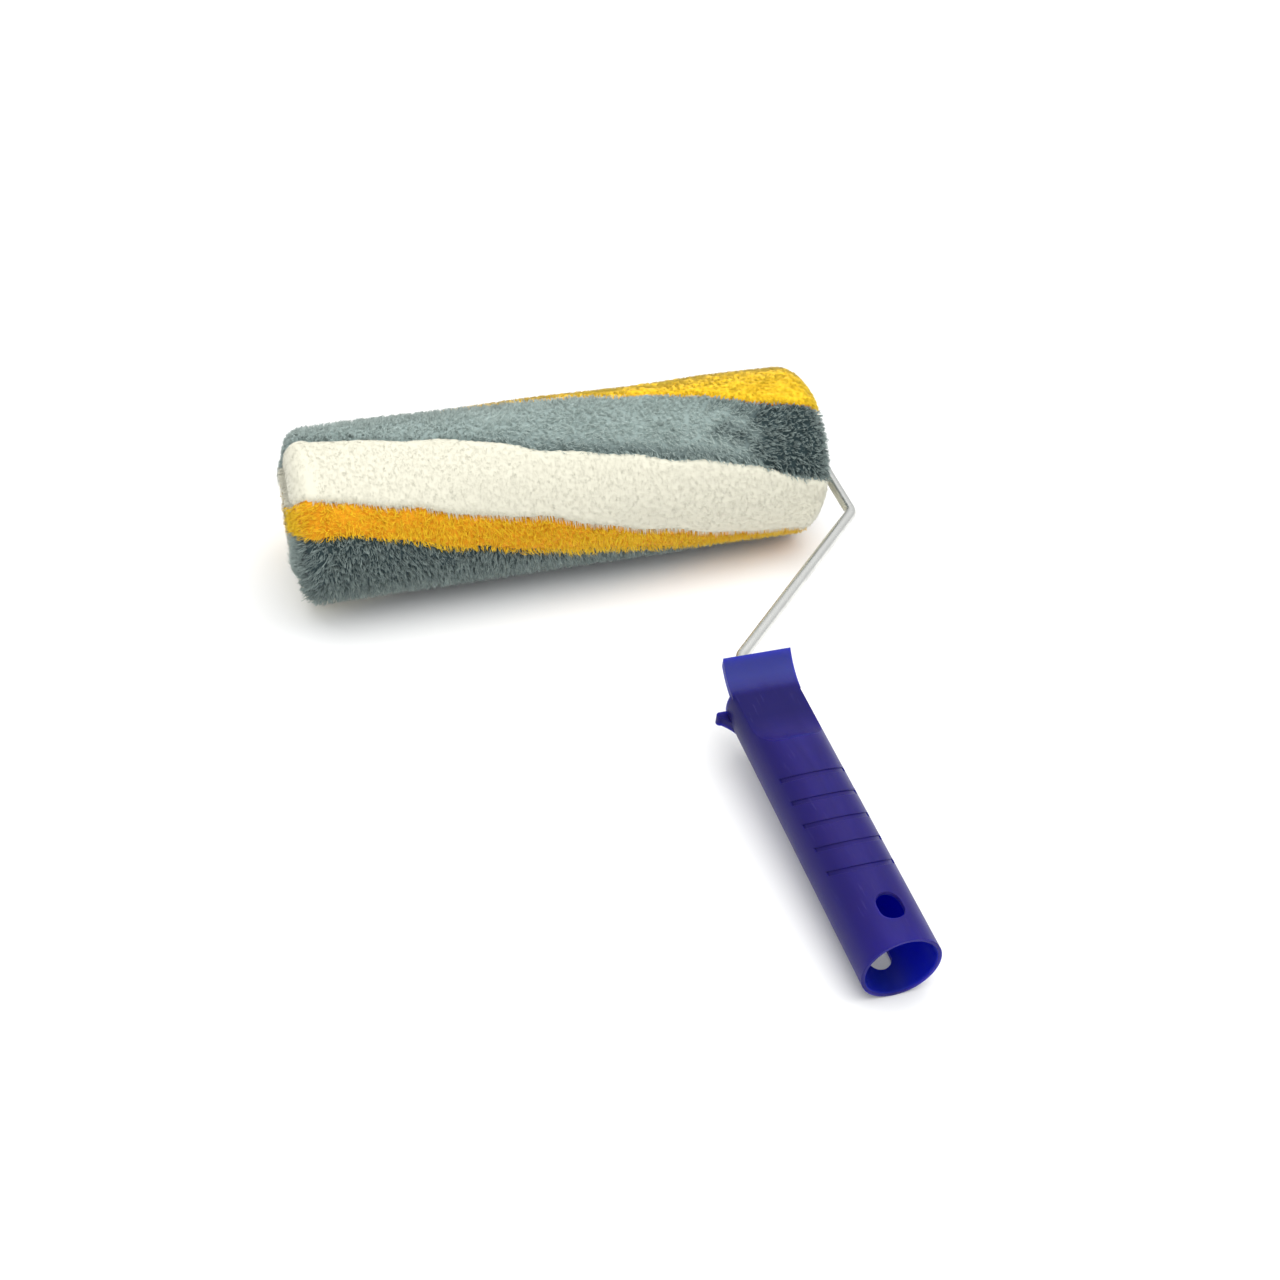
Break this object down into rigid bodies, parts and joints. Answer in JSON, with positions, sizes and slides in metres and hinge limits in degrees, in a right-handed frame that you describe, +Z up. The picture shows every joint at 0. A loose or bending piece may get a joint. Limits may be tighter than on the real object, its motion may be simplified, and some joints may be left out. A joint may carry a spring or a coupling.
{
  "type": "paint roller",
  "caption": "Plush paint roller sleeve turning on a bent steel wire frame, with a hollow moulded handle that has a thumb plate, side hook, grip grooves and hanging slot.",
  "frame": {"origin": "on the surface the tool lies on, under the middle of its whole outline", "axes": "+Z up; X along the sleeve with the wire's bends at +X; the handle points to -Y and leans down 4.65 degrees so that its mouth and the sleeve both touch z = 0"},
  "size_m": [0.233, 0.316, 0.075],
  "materials": {
    "pile": "matte",
    "backing": "matte",
    "core_plastic": "satin",
    "cap_plastic": "satin",
    "zinc_steel": "satin",
    "spring_steel": "satin",
    "zinc_wire": "gloss",
    "handle_plastic": "satin"
  },
  "bodies": {
    "frame": {"wire_frame": "zinc_wire", "handle": "handle_plastic", "stop_washer": "zinc_steel", "push_nut": "spring_steel"},
    "sleeve": {"core_tube": "core_plastic", "end_cap_wire_side": "cap_plastic", "end_cap_far_side": "cap_plastic", "knit_backing": "backing", "pile_cover": "pile"}
  },
  "joints": [
    {"name": "sleeve_spin", "type": "hinge", "parent": "frame", "child": "sleeve", "pos_m": [-0.003, 0.1205, 0.0375], "axis": [1, 0, 0], "continuous": true}
  ]
}
